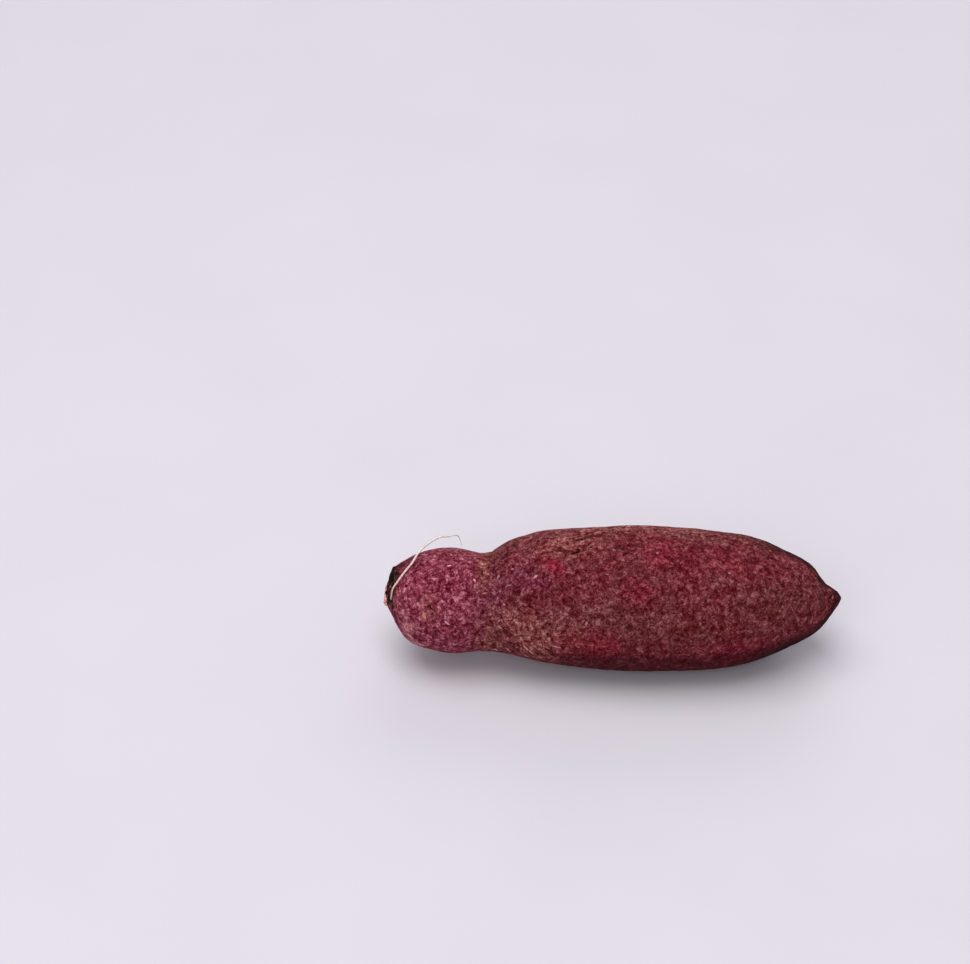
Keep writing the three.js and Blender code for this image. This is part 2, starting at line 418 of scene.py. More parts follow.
# Each zone is made of soft patches with uneven edges. Lengths and widths are half of the whole.
CRIMSON_PATCHES = [
    {"along": 46.1, "around": 113, "length": 3.1, "width": 1.7, "turn": -35, "strength": 1.3},
    {"along": 74, "around": 101, "length": 5, "width": 7, "strength": 0.6},
    {"along": 69, "around": 138, "length": 4, "width": 4, "strength": 0.45},
    {"along": 57, "around": 184, "length": 9, "width": 4, "strength": 0.75},
    {"along": 93, "around": 108, "length": 15, "width": 6, "strength": 0.4},
    {"along": 95, "around": 190, "length": 16, "width": 4, "strength": 0.55},
    {"along": 70, "around": 30, "length": 14, "width": 8, "strength": 0.5},
    {"along": 50, "around": 330, "length": 9, "width": 7, "turn": 20, "strength": 0.6},
    {"along": 88, "around": 290, "length": 10, "width": 6, "turn": -15, "strength": 0.6},
    {"along": 14, "around": 20, "length": 6, "width": 6, "strength": 0.5},
]
TAN_PATCHES = [
    {"along": 27.2, "around": 98, "length": 1.4, "width": 6.5, "strength": 1.1},
    {"along": 12.8, "around": 156, "length": 1.3, "width": 3, "strength": 0.8},
    {"along": 29, "around": 197, "length": 4, "width": 3.5, "strength": 0.8},
    {"along": 34.4, "around": 172, "length": 7, "width": 7, "turn": -20, "strength": 0.75},
    {"along": 41, "around": 184, "length": 8, "width": 7, "strength": 1},
    {"along": 50, "around": 172, "length": 8, "width": 6, "strength": 0.5},
    {"along": 27.5, "around": 30, "length": 2.4, "width": 12, "strength": 0.6},
    {"along": 28, "around": 300, "length": 2.4, "width": 12, "strength": 0.6},
    {"along": 55, "around": 245, "length": 14, "width": 6, "turn": 10, "strength": 0.5},
    {"along": 78, "around": 350, "length": 10, "width": 7, "strength": 0.45},
    {"along": 68, "around": 62, "length": 36, "width": 5.5, "strength": 0.75},
    {"along": 50, "around": 90, "length": 10, "width": 5, "strength": 0.55},
]
GREY_PATCHES = [
    {"along": 42.6, "around": 170, "length": 2.2, "width": 4.2, "turn": 8, "strength": 1},
    {"along": 108, "around": 143, "length": 11, "width": 12, "strength": 0.8},
    {"along": 72, "around": 165, "length": 16, "width": 7, "strength": 0.6},
    {"along": 106, "around": 330, "length": 11, "width": 12, "strength": 0.7},
    {"along": 66, "around": 300, "length": 12, "width": 7, "strength": 0.5},
]
PURPLE_PATCHES = [
    {"along": 30.5, "around": 146, "length": 4.5, "width": 9, "strength": 1},
    {"along": 36, "around": 120, "length": 6, "width": 7, "strength": 0.7},
    {"along": 41, "around": 125, "length": 6, "width": 4, "strength": 0.5},
    {"along": 33, "around": 20, "length": 9, "width": 9, "strength": 0.6},
    {"along": 34, "around": 270, "length": 7, "width": 9, "strength": 0.5},
]
SHADE_PATCHES = [
    {"along": 4.6, "around": 62, "length": 2.4, "width": 2.6, "strength": 0.85},
    {"along": 7.4, "around": 58, "length": 2.4, "width": 1.6, "strength": 0.6},
]
BLUSH_PATCHES = [
    {"along": 5.6, "around": 192, "length": 1.4, "width": 5, "strength": 0.9},
    {"along": 6.4, "around": 211, "length": 1.5, "width": 4.5, "strength": 1.2},
    {"along": 8.8, "around": 216, "length": 2, "width": 1.6, "strength": 0.9},
    {"along": 8.6, "around": 184, "length": 1, "width": 2.6, "turn": -35, "strength": 0.6},
    {"along": 6, "around": 235, "length": 2, "width": 5, "strength": 0.6},
    {"along": 6, "around": 20, "length": 2.4, "width": 5, "strength": 0.5},
]

# Small sharp marks. Lengths and widths are half of the whole.
PALE_MARKS = [
    {"along": 17.7, "around": 99, "length": 0.6, "width": 0.3, "turn": 15, "strength": 1},
    {"along": 24.6, "around": 119, "length": 0.4, "width": 0.36, "strength": 0.9},
    {"along": 24.9, "around": 127, "length": 0.6, "width": 0.28, "turn": 80, "strength": 0.4},
    {"along": 23.3, "around": 88, "length": 0.45, "width": 0.4, "strength": 0.45},
    {"along": 13.5, "around": 85, "length": 0.5, "width": 0.4, "turn": -30, "strength": 0.45},
    {"along": 17.1, "around": 171.5, "length": 1.05, "width": 0.18, "turn": -39, "strength": 0.75},
    {"along": 19.2, "around": 202, "length": 0.6, "width": 0.4, "turn": 20, "strength": 0.45},
    {"along": 31, "around": 117, "length": 0.6, "width": 0.28, "turn": 35, "strength": 0.6},
    {"along": 41.1, "around": 123, "length": 0.65, "width": 0.3, "turn": 35, "strength": 0.6},
    {"along": 34.9, "around": 111, "length": 0.5, "width": 0.3, "strength": 0.4},
    {"along": 32.5, "around": 150, "length": 0.45, "width": 0.35, "strength": 0.4},
    {"along": 54.8, "around": 163, "length": 0.75, "width": 0.25, "turn": 80, "strength": 0.5},
    {"along": 74, "around": 104, "length": 0.5, "width": 0.36, "turn": 70, "strength": 0.4},
    {"along": 93.3, "around": 120, "length": 0.4, "width": 0.28, "strength": 0.5},
    {"along": 122.6, "around": 146, "length": 0.6, "width": 0.3, "turn": 70, "strength": 0.3},
    {"along": 30.4, "around": 215, "length": 1.2, "width": 0.32, "turn": -25, "strength": 0.9},
    {"along": 33.9, "around": 207, "length": 1.3, "width": 0.26, "turn": -55, "strength": 0.55},
    {"along": 38.5, "around": 196, "length": 1.3, "width": 0.3, "turn": -55, "strength": 0.65},
    {"along": 40.1, "around": 202, "length": 0.95, "width": 0.26, "turn": -45, "strength": 0.7},
    {"along": 38.5, "around": 212, "length": 0.9, "width": 0.3, "turn": -35, "strength": 0.55},
    {"along": 46.6, "around": 188, "length": 1.6, "width": 0.24, "turn": -10, "strength": 0.5},
]
# Dark marks of painted shade: lines in the creases, the pits, and a shadow line along the stalk end's
# lower rim.
DARK_SHADE_MARKS = [
    {"along": 52.1, "around": 101, "length": 1.6, "width": 0.34, "turn": 15, "strength": 1},
    {"along": 54.6, "around": 99, "length": 0.9, "width": 0.22, "turn": 5, "strength": 0.7},
    {"along": 53.6, "around": 84.5, "length": 2.4, "width": 0.34, "turn": 12, "strength": 0.9},
    {"along": 49.2, "around": 103, "length": 0.5, "width": 0.25, "turn": 40, "strength": 0.7},
    {"along": 44.6, "around": 177, "length": 0.42, "width": 0.4, "strength": 0.9},
    {"along": 44.9, "around": 166, "length": 0.55, "width": 0.27, "turn": 55, "strength": 0.75},
    {"along": 13.4, "around": 113, "length": 0.36, "width": 0.36, "strength": 0.85},
    {"along": 12.5, "around": 153, "length": 0.4, "width": 0.32, "strength": 0.7},
    # painted shadow line along the lower rim of the stalk end
    {"along": 2.3, "around": 172, "length": 1.5, "width": 0.5, "turn": -82, "strength": 0.95},
    {"along": 2.8, "around": 190, "length": 1.5, "width": 0.5, "turn": -82, "strength": 0.95},
    {"along": 3.4, "around": 206, "length": 1.5, "width": 0.42, "turn": -78, "strength": 0.95},
    {"along": 76, "around": 62, "length": 1.9, "width": 0.2, "turn": 10, "strength": 0.8},
    {"along": 88, "around": 320, "length": 2.1, "width": 0.22, "turn": -12, "strength": 0.9},
    {"along": 61, "around": 20, "length": 2.5, "width": 0.22, "turn": 7, "strength": 0.9},
    {"along": 97, "around": 40, "length": 1.7, "width": 0.2, "turn": -20, "strength": 0.8},
]
TAN_STREAKS = [
    {"along": 11.1, "around": 166, "length": 1.25, "width": 0.42, "turn": -74, "strength": 1},
    {"along": 10.6, "around": 150, "length": 1.5, "width": 0.32, "turn": -82, "strength": 0.5},
]

VIEW_PITCH = 38  # how far the camera looks down, in degrees

# The way to the viewer of the photograph. The colours on the other side of the root are guessed.
SHOWN_WAY = np.array([0, -math.cos(math.radians(VIEW_PITCH)), math.sin(math.radians(VIEW_PITCH))])


def patches(skin, zones, seed):
    """How strongly each point belongs to a list of zones, with uneven edges."""
    uneven = rough_noise(skin.points, 2.6, seed)
    total = np.zeros(skin.along.shape)
    for zone in zones:
        length_way, width_way = skin.offsets(*place_of(zone))
        reach = np.hypot(length_way / zone["length"], width_way / zone["width"])
        total = np.maximum(total, zone["strength"] * np.exp(-((reach + 0.35 * uneven) ** 2) * 1.1))
    return np.clip(total, 0, 1)


def painted_low_shade(skin):
    """How much painted shade darkens each point of the body's lower side. The lobe has none."""
    turn = skin.around + 4 * rough_noise(skin.points, 6, 83)
    low = smoothstep(185, 200, turn) * smoothstep(354, 326, turn)
    return low * smoothstep(40, 56, skin.along)


def painted_tail_shade(skin):
    """How much painted shade darkens each point: on the tip's upper side, and along the tail's edges.

    The painted shade on the edges starts where the skin turns away from the view, and fades over
    what the view hides. The tail's own skin is somewhat darker there too."""
    uneven = rough_noise(skin.points, 4.5, 87)
    shown = skin.normals @ SHOWN_WAY + 0.1 * uneven
    # painted shade where the skin turns away from the view
    edge_shade = smoothstep(0.53, 0.3, shown) * (1 - 0.75 * smoothstep(0.12, -0.3, shown))
    edge_shade = edge_shade * smoothstep(88, 113, skin.along + 4 * uneven)
    to_tip = LENGTH_MM - skin.along + 0.5 * uneven
    # painted shade on the tip's upper side
    tip = smoothstep(4.2, 1.6, to_tip) * smoothstep(-0.3, 0.3, skin.normals[..., 2])
    return np.clip(edge_shade + 0.8 * tip, 0, 1)


# -------------------------------- meshes


def add_object(name, corners_mm, faces, material):
    mesh = bpy.data.meshes.new(name)
    mesh.from_pydata((np.asarray(corners_mm) * MM).tolist(), [], faces)
    mesh.polygons.foreach_set("use_smooth", np.ones(len(faces), dtype=bool))
    mesh.materials.append(material)
    made = bpy.data.objects.new(name, mesh)
    bpy.context.scene.collection.objects.link(made)
    return made


def tube_faces(rows, columns):
    """Faces of a closed tube whose corners are one pole, rows of columns corners, and one pole."""
    faces = []
    last = 1 + rows * columns
    for c in range(columns):
        d = (c + 1) % columns
        faces.append((0, 1 + d, 1 + c))
        faces.append((last, last - columns + c, last - columns + d))
        for r in range(rows - 1):
            a = 1 + r * columns
            faces.append((a + c, a + d, a + columns + d, a + columns + c))
    return faces


def tube_map(mesh, rows, columns):
    """Unrolls a tube made by tube_faces into the map that its looks are baked on."""
    layer = mesh.uv_layers.new(name="OFBake")
    last = 1 + rows * columns
    flat = np.zeros((len(mesh.loops), 2))
    for face in mesh.polygons:
        sides = [(v - 1) % columns for v in face.vertices if v not in (0, last)]
        wraps = max(sides) - min(sides) > columns / 2
        for loop in face.loop_indices:
            vertex = mesh.loops[loop].vertex_index
            if vertex in (0, last):
                side = np.mean([s + columns if wraps and s == 0 else s for s in sides])
                row = 0 if vertex == 0 else rows + 1
            else:
                side = (vertex - 1) % columns
                side = columns if wraps and side == 0 else side
                row = 1 + (vertex - 1) // columns
            flat[loop] = (side / columns, row / (rows + 1))
    layer.data.foreach_set("uv", (0.004 + 0.992 * flat).ravel())


def add_mask(mesh, name, values):
    layer = mesh.attributes.new(name, "FLOAT", "POINT")
    layer.data.foreach_set("value", np.asarray(values, dtype=np.float32).ravel())


def per_corner(grid):
    """Values of a grid in the order of a tube's corners: one for each pole, all for the rest."""
    return np.concatenate([grid[0, :1], grid[1:-1].reshape(-1, *grid.shape[2:]), grid[-1, :1]])


# -------------------------------- material nodes

MARK_REACH = 1.2  # how far a mark's colour reaches above and below the skin, in millimetres
MARK_EDGE = (1.25, 0.55)  # where a mark's colour starts and is whole, as shares of its half length


class Nodes:
    """Short calls for building a material's nodes."""

    def __init__(self, name):
        self.material = bpy.data.materials.new(name)
        self.material.use_nodes = True
        self.tree = self.material.node_tree
        self.shader = self.tree.nodes["Principled BSDF"]

    def add(self, kind, settings=None, **inputs):
        made = self.tree.nodes.new(kind)
        for key, value in (settings or {}).items():
            setattr(made, key, value)
        for key, value in inputs.items():
            self.set(made.inputs[int(key[1:]) if key[0] == "_" else key.replace("_", " ")], value)
        return made

    def set(self, socket, value):
        if isinstance(value, bpy.types.NodeSocket):
            self.tree.links.new(value, socket)
        else:
            socket.default_value = value

    def mask(self, name):
        return self.add("ShaderNodeAttribute", {"attribute_name": name}).outputs["Fac"]

    def place_mm(self, stretch=(1, 1, 1), turn=(0, 0, 0)):
        """Places on the object in millimetres, squeezed by stretch after a turn in degrees."""
        coords = self.add("ShaderNodeTexCoord").outputs["Object"]
        scale = [1000 * s for s in stretch]
        angles = [math.radians(a) for a in turn]
        mapping = self.add("ShaderNodeMapping", _0=coords, Rotation=angles, Scale=scale)
        return mapping.outputs[0]

    def shifted(self, place, noise_colour, reach):
        """Places moved to and fro by a noise's colour, by up to about half of reach."""
        centred = self.add("ShaderNodeVectorMath", {"operation": "SUBTRACT"}, _0=noise_colour,
                           _1=(0.5, 0.5, 0.5)).outputs[0]
        moved = self.add("ShaderNodeVectorMath", {"operation": "MULTIPLY_ADD"}, _0=centred,
                         _1=(reach, reach, reach), _2=place)
        return moved.outputs[0]

    def noise_colour(self, place, scale):
        """A soft noise of three separate channels."""
        made = self.add("ShaderNodeTexNoise", Vector=place, Scale=scale, Detail=2.0)
        return made.outputs["Color"]

    def noise(self, place, size, detail=3.0, roughness=0.55, distortion=0.0):
        made = self.add("ShaderNodeTexNoise", Vector=place, Scale=1 / size, Detail=detail,
                        Roughness=roughness, Distortion=distortion)
        return made.outputs["Fac"]

    def marks(self, place, skin, marks):
        """How far each place lies within the nearest of some small marks on the skin, 1 to 0."""
        total = None
        for mark in marks:
            centre, *ways = skin.spot(*place_of(mark))
            turned = Matrix([way.tolist() for way in ways]).transposed().to_euler()
            size = (mark["length"], mark["width"], MARK_REACH)
            near = self.add("ShaderNodeMapping", {"vector_type": "TEXTURE"}, Vector=place,
                            Location=centre.tolist(), Rotation=turned, Scale=size).outputs[0]
            away = self.add("ShaderNodeVectorMath", {"operation": "LENGTH"}, _0=near).outputs["Value"]
            within = self.between(away, *MARK_EDGE, 0.0, mark["strength"])
            total = within if total is None else self.math("MAXIMUM", total, within)
        return total

    def pores(self, place, size):
        """Small dots, one in each of some of the cells of a net about size across."""
        cell = self.add("ShaderNodeTexVoronoi", {"feature": "F1"}, Vector=place, Scale=1 / size)
        drawn = self.add("ShaderNodeSeparateColor", _0=cell.outputs["Color"]).outputs
        within = self.between(cell.outputs["Distance"], 0.32, 0.12)
        chosen = self.between(drawn[0], 0.45, 0.85, 0.0, 0.8)
        return self.math("MULTIPLY", within, chosen)

    def cracks(self, place, size):
        """The distance to the nearest border between scales about size across."""
        made = self.add("ShaderNodeTexVoronoi", {"feature": "DISTANCE_TO_EDGE"}, Vector=place,
                        Scale=1 / size, Randomness=1.0)
        return made.outputs["Distance"]

    def between(self, value, low, high, out_low=0.0, out_high=1.0):
        limits = {"From_Min": low, "From_Max": high, "To_Min": out_low, "To_Max": out_high}
        smooth = {"interpolation_type": "SMOOTHSTEP"}
        return self.add("ShaderNodeMapRange", smooth, Value=value, **limits).outputs[0]

    def math(self, operation, first, second=0.0):
        return self.add("ShaderNodeMath", {"operation": operation}, _0=first, _1=second).outputs[0]

    def plus(self, first, second, middle, weight):
        """The first value, with so much of the second's difference from its middle added."""
        apart = self.math("SUBTRACT", second, middle)
        return self.math("ADD", first, self.math("MULTIPLY", apart, weight))

    def mix(self, share, first, second, blend="MIX"):
        """Two colours mixed. Sockets 6 and 7 of the node are the colours, and 2 is their mix."""
        made = self.add("ShaderNodeMix", {"data_type": "RGBA", "blend_type": blend}, Factor=share)
        self.set(made.inputs[6], first)
        self.set(made.inputs[7], second)
        return made.outputs[2]

    def ramp(self, value, stops):
        made = self.add("ShaderNodeValToRGB", Fac=value)
        while len(made.color_ramp.elements) < len(stops):
            made.color_ramp.elements.new(0.5)
        for element, (position, colour) in zip(made.color_ramp.elements, stops):
            element.position = position
            element.color = (*colour, 1)
        return made.outputs["Color"]

    def bump(self, height, distance_mm, strength=1.0, normal=None):
        made = self.add("ShaderNodeBump", Height=height, Distance=distance_mm * MM, Strength=strength)
        if normal is not None:
            self.set(made.inputs["Normal"], normal)
        return made.outputs[0]

    def finished(self, colour, roughness, normal):
        """The material, with its shader's colour, roughness and normal set."""
        self.set(self.shader.inputs["Base Color"], colour)
        self.set(self.shader.inputs["Roughness"], roughness)
        self.set(self.shader.inputs["Normal"], normal)
        return self.material


# The skin's fine mottle runs round 0.5. Colours are set at so many times its spread below or above.
MOTTLE_SPREAD = 0.067
BODY_COLOURS = [
    (-2.4, (0.040, 0.001, 0.002)),
    (-1.6, (0.076, 0.003, 0.006)),
    (0, (0.130, 0.017, 0.023)),
    (1.6, (0.222, 0.049, 0.060)),
    (2.6, (0.310, 0.104, 0.108)),
]
LOBE_COLOURS = [
    (-2.4, (0.066, 0.001, 0.006)),
    (-1.6, (0.106, 0.005, 0.016)),
    (0, (0.200, 0.029, 0.052)),
    (1.6, (0.355, 0.094, 0.135)),
    (2.6, (0.560, 0.225, 0.255)),
]
PURPLE_COLOURS = [
    (-2.4, (0.044, 0.001, 0.008)),
    (-1.6, (0.078, 0.004, 0.019)),
    (0, (0.142, 0.023, 0.048)),
    (1.6, (0.235, 0.064, 0.100)),
    (2.6, (0.370, 0.140, 0.175)),
]
GREY_COLOURS = [
    (-2.4, (0.048, 0.004, 0.006)),
    (-1.6, (0.076, 0.008, 0.011)),
    (0, (0.132, 0.029, 0.033)),
    (1.6, (0.205, 0.061, 0.065)),
    (2.6, (0.280, 0.124, 0.120)),
]
TAN_COLOURS = [
    (-2.4, (0.060, 0.003, 0.003)),
    (-1.6, (0.105, 0.013, 0.011)),
    (0, (0.250, 0.068, 0.063)),
    (1.6, (0.430, 0.175, 0.155)),
    (2.6, (0.600, 0.330, 0.280)),
]
CRIMSON_COLOURS = [
    (-2.4, (0.075, 0.001, 0.004)),
    (-1.6, (0.110, 0.002, 0.008)),
    (0, (0.210, 0.010, 0.030)),
    (1.6, (0.330, 0.038, 0.060)),
    (2.6, (0.400, 0.080, 0.095)),
]
BLUSH_COLOURS = [
    (-2.4, (0.130, 0.015, 0.030)),
    (-1.6, (0.220, 0.035, 0.058)),
    (0, (0.400, 0.120, 0.150)),
    (1.6, (0.560, 0.230, 0.250)),
    (2.6, (0.660, 0.350, 0.350)),
]
END_GRAIN_COLOURS = [
    (-2.0, (0.003, 0.0003, 0.0003)),
    (-0.5, (0.010, 0.001, 0.001)),
    (0.9, (0.040, 0.007, 0.006)),
    (2.0, (0.120, 0.040, 0.029)),
    (3.4, (0.310, 0.165, 0.120)),
]
# painted shade in creases, folds, pits and root scars, and the colour of the dark marks
HOLLOW_SHADE_COLOUR = (0.020, 0.001, 0.002, 1)
PORE_COLOUR = (0.036, 0.002, 0.004, 1)
PALE_COLOUR = (0.740, 0.370, 0.400, 1)
STREAK_COLOUR = (0.500, 0.205, 0.135, 1)
# painted shade on the body's lower side
UNDER_SHADE_TINT = (0.52, 0.42, 0.45, 1)
# painted shade on the tail's edges and tip, and on the lobe's shoulder
PAINTED_SHADE_TINT = (0.23, 0.11, 0.14, 1)
FRESH_TINT = (1.0, 0.76, 0.74, 1)
SKIN_SPECULAR = 0.03  # the skin is dull: more would turn its edges and the scar grey

# Colours set straight on a noise's values.
FLAKE_COLOURS = [
    (0.34, (0.240, 0.060, 0.065)),
    (0.48, (0.520, 0.210, 0.215)),
    (0.62, (0.800, 0.480, 0.470)),
]
THREAD_COLOURS = [
    (0.32, (0.400, 0.290, 0.250)),
    (0.48, (0.660, 0.560, 0.510)),
    (0.66, (0.860, 0.790, 0.740)),
]
FLOOR_COLOURS = [
    (0.3, (0.600, 0.565, 0.620)),
    (0.7, (0.615, 0.580, 0.635)),
]
FLOOR_ROUGHNESS = 0.7


def spread_stops(colours):
    return [(0.5 + MOTTLE_SPREAD * times, colour) for times, colour in colours]


def skin_mottle(n, place, bent, grain):
    """The skin's fine mottle: flecks, with spots, cracks between scales and grain added."""
    flecks = n.noise(place, 2.0, 4.0, 0.85, 0.5)
    spots = n.noise(bent, 0.8, 2.0, 0.6, 0.8)
    cracks = n.between(n.cracks(bent, 1.9), 0.0, 0.14)
    mottle = n.plus(flecks, spots, 0.5, 0.55)
    mottle = n.plus(mottle, cracks, 0.85, 0.06)
    return n.plus(mottle, grain, 0.5, 0.14)


def skin_ground(n, place, mottle):
    """The colours of the mottle in each zone of the skin."""
    clouds = n.noise(place, 7.0, 3.0, 0.6, 0.6)
    zones = (
        (n.between(clouds, 0.46, 0.62), 0.8, GREY_COLOURS),
        (n.mask("lobe"), 1.0, LOBE_COLOURS),
        (n.mask("purple"), 0.9, PURPLE_COLOURS),
        (n.mask("grey"), 0.9, GREY_COLOURS),
        (n.mask("tan"), 0.9, TAN_COLOURS),
        (n.mask("crimson"), 0.85, CRIMSON_COLOURS),
        (n.mask("blush"), 1.0, BLUSH_COLOURS),
    )
    colour = n.ramp(mottle, spread_stops(BODY_COLOURS))
    for mask, most, colours in zones:
        share = n.math("MULTIPLY", mask, most)
        colour = n.mix(share, colour, n.ramp(mottle, spread_stops(colours)))
    # painted shade on the body's lower side, then along the tail's edges
    colour = n.mix(n.mask("under"), colour, UNDER_SHADE_TINT, "MULTIPLY")
    return n.mix(n.mask("painted_shade"), colour, PAINTED_SHADE_TINT, "MULTIPLY")


def marked(n, skin, place, colour):
    """The skin's colour with its small streaks, pale marks and dark marks of painted shade, which have
    frayed edges.
    """
    fray = n.noise_colour(place, 1.6)
    frayed = n.shifted(place, fray, 0.7)
    wavy = n.shifted(place, fray, 0.4)
    colour = n.mix(n.marks(frayed, skin, TAN_STREAKS), colour, STREAK_COLOUR)
    colour = n.mix(n.marks(frayed, skin, PALE_MARKS), colour, PALE_COLOUR)
    # dark marks: painted shade in creases and pits, and a painted shadow line at the stalk end
    return n.mix(n.marks(wavy, skin, DARK_SHADE_MARKS), colour, HOLLOW_SHADE_COLOUR)


def end_grain(n, place):
    """The colours of the stalk scar's broken fibres, seen end on."""
    fibres = n.noise(n.place_mm((0.5, 1.6, 1.6), (0, 0, 25)), 1.2, 3.0, 0.6)
    broken = n.noise(place, 3.4, 3.0, 0.6)
    fibres = n.plus(fibres, broken, 0.5, 0.9)
    return n.ramp(fibres, spread_stops(END_GRAIN_COLOURS))


def skin_material(skin):
    n = Nodes("skin")
    place = n.place_mm()
    bent = n.shifted(place, n.noise_colour(place, 0.55), 2.6)
    grain = n.noise(place, 0.3, 2.0, 0.5, 0.3)
    mottle = skin_mottle(n, place, bent, grain)

    colour = skin_ground(n, place, mottle)
    colour = n.mix(n.pores(bent, 1.5), colour, PORE_COLOUR)
    # painted shade in the creases, folds, pits and root scars
    colour = n.mix(n.math("MULTIPLY", n.mask("hollow_shade"), 0.6), colour, HOLLOW_SHADE_COLOUR)
    colour = marked(n, skin, place, colour)
    colour = n.mix(n.mask("scar"), colour, end_grain(n, place))

    n.shader.inputs["Specular IOR Level"].default_value = SKIN_SPECULAR
    roughness = n.between(mottle, 0.35, 0.65, 0.6, 0.8)
    fine = n.bump(grain, 0.05, 0.7)
    return n.finished(colour, roughness, n.bump(mottle, 0.5, 0.8, fine))


def flake_material():
    """Torn skin: pink inner flesh with darker streaks."""
    n = Nodes("torn_skin")
    streaks = n.noise(n.place_mm((0.6, 1.2, 0.6)), 1.3, 3.0, 0.6)
    colour = n.ramp(streaks, FLAKE_COLOURS)
    roughness = n.between(streaks, 0.3, 0.7, 0.6, 0.8)
    return n.finished(colour, roughness, n.bump(streaks, 0.08, 0.6))


def thread_material():
    """A pale dry fibre, pinker where it leaves the root."""
    n = Nodes("root_fibre")
    streaks = n.noise(n.place_mm((1.0, 1.0, 1.0)), 0.35, 3.0, 0.6)
    colour = n.ramp(streaks, THREAD_COLOURS)
    colour = n.mix(n.mask("fresh"), colour, FRESH_TINT, "MULTIPLY")
    roughness = n.between(streaks, 0.3, 0.7, 0.5, 0.75)
    return n.finished(colour, roughness, n.bump(streaks, 0.05, 0.6))


def floor_material():
    n = Nodes("floor")
    cloud = n.noise(n.place_mm(), 60, 2.0, 0.5)
    n.set(n.shader.inputs["Base Color"], n.ramp(cloud, FLOOR_COLOURS))
    n.shader.inputs["Roughness"].default_value = FLOOR_ROUGHNESS
    return n.material


# -------------------------------- the pieces


def make_tuber(skin, masks):
    faces = tube_faces(ROWS, COLUMNS)
    made = add_object("sweet_potato_skin", per_corner(skin.points), faces, skin_material(skin))
    for name, grid in masks.items():
        add_mask(made.data, name, per_corner(grid))
    tube_map(made.data, ROWS, COLUMNS)
    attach(made, "root")
    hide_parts("tuber")


CAD_HAIR_SIDES = 8  # corners in each ring of the CAD thread
HAIR_START = (0.93, -7)  # where it leaves the scar: the share of its radius, and degrees round it
HAIR_DROPPED = 5  # rings of the CAD thread that its start replaces
HAIR_SIDES = 14
HAIR_ROWS = 260
HAIR_FLATTENED = (1.1, 0.9)  # its width and its height as shares of its thickness

# The thread's radius in millimetres, at shares of its length from the scar to its loose end.
HAIR_TAPER = [
    (0, 0.22),
    (0.07, 0.25),
    (0.16, 0.3),
    (0.6, 0.3),
    (0.78, 0.25),
    (0.85, 0.16),
    (1, 0.05),
]


def merged_corners(corners, faces):
    """Corners at one place made into one, and for each the set of those that share a face."""
    keys = [tuple(np.round(c, 3)) for c in corners]
    merged = {key: i for i, key in enumerate(dict.fromkeys(keys))}
    linked = {i: set() for i in merged.values()}
    for face in faces:
        ids = [merged[keys[v]] for v in face]
        for i in ids:
            linked[i].update(ids)
    return np.array(list(merged)), linked


def hair_middle_line():
    """The middle of each ring of the CAD thread, from the stalk scar to its loose end.

    Only neighbouring rings share faces, so stepping from one end ring over the faces finds each
    next ring in turn."""
    places, linked = merged_corners(*cad_mesh_mm("hair_root"))
    start = places[places[:, 0].argmin()]
    nearest = sorted(linked, key=lambda i: np.linalg.norm(places[i] - start))
    ring = set(nearest[:CAD_HAIR_SIDES])
    seen = set(ring)
    line = [places[list(ring)].mean(axis=0)]
    while True:
        ring = set().union(*(linked[i] for i in ring)) - seen
        if not ring:
            return np.array(line)
        seen |= ring
        line.append(places[list(ring)].mean(axis=0))


def hair_line(scar):
    """The thread's middle line at even steps, with its start led into the scar's rim."""
    middle, facing, side, up = scar
    share, turn = HAIR_START[0] * SCAR_RADIUS, math.radians(HAIR_START[1])
    start = middle + share * (math.cos(turn) * side + math.sin(turn) * up)
    led_in = [start - 0.5 * facing, start + 0.1 * facing]
    line = evenly_spaced(np.vstack([*led_in, hair_middle_line()[HAIR_DROPPED:]]), HAIR_ROWS)
    for _ in range(6):
        line[1:-1] = (line[:-2] + 2 * line[1:-1] + line[2:]) / 4
    return line


def thread_corners(line, radii):
    """Corners of a thread round a line: its first point, a ring for each point, its last point."""
    wide, high = HAIR_FLATTENED
    ways = np.gradient(line, axis=0)
    ways /= np.linalg.norm(ways, axis=1, keepdims=True)
    side = np.cross(ways[0], [0.0, 0, 1])
    corners = [line[0]]
    for middle, way, radius in zip(line, ways, radii):
        side = side - way * (side @ way)
        side /= np.linalg.norm(side)
        up = np.cross(way, side)
        for k in range(HAIR_SIDES):
            turn = 2 * math.pi * k / HAIR_SIDES
            out = math.cos(turn) * side * wide + math.sin(turn) * up * high
            corners.append(middle + radius * out)
    corners.append(line[-1])
    return corners


def make_hair_root(scar):
    line = hair_line(scar)
    shares = np.linspace(0, 1, HAIR_ROWS)
    radii = np.interp(shares, *zip(*HAIR_TAPER)) * (1 + 0.12 * rough_noise(line, 1.5, 41))
    faces = tube_faces(HAIR_ROWS, HAIR_SIDES)
    made = add_object("hair_thread", thread_corners(line, radii), faces, thread_material())
    fresh = smoothstep(0.55, 0.1, shares)
    add_mask(made.data, "fresh", np.concatenate([[1], np.repeat(fresh, HAIR_SIDES), [0]]))
    tube_map(made.data, HAIR_ROWS, HAIR_SIDES)
    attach(made, "root")
    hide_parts("hair_root")


# The flake of torn skin that stands on the lower rim of the scar.
FLAKE_FROM, FLAKE_TO = -146, -48  # degrees round the scar, from its front over the top
FLAKE_PEAK = 0.61  # how far along it is tallest
FLAKE_HEIGHT = 0.5  # above the rim
FLAKE_ROOT = 0.6  # how deep it starts under the rim
FLAKE_INSET = 0.35  # how far inside the rim it starts
FLAKE_FLARE = 0.5  # how far its edge leans out
FLAKE_THICKNESS = 0.5
FLAKE_STEPS = 56
FLAKE_LAYERS = 8


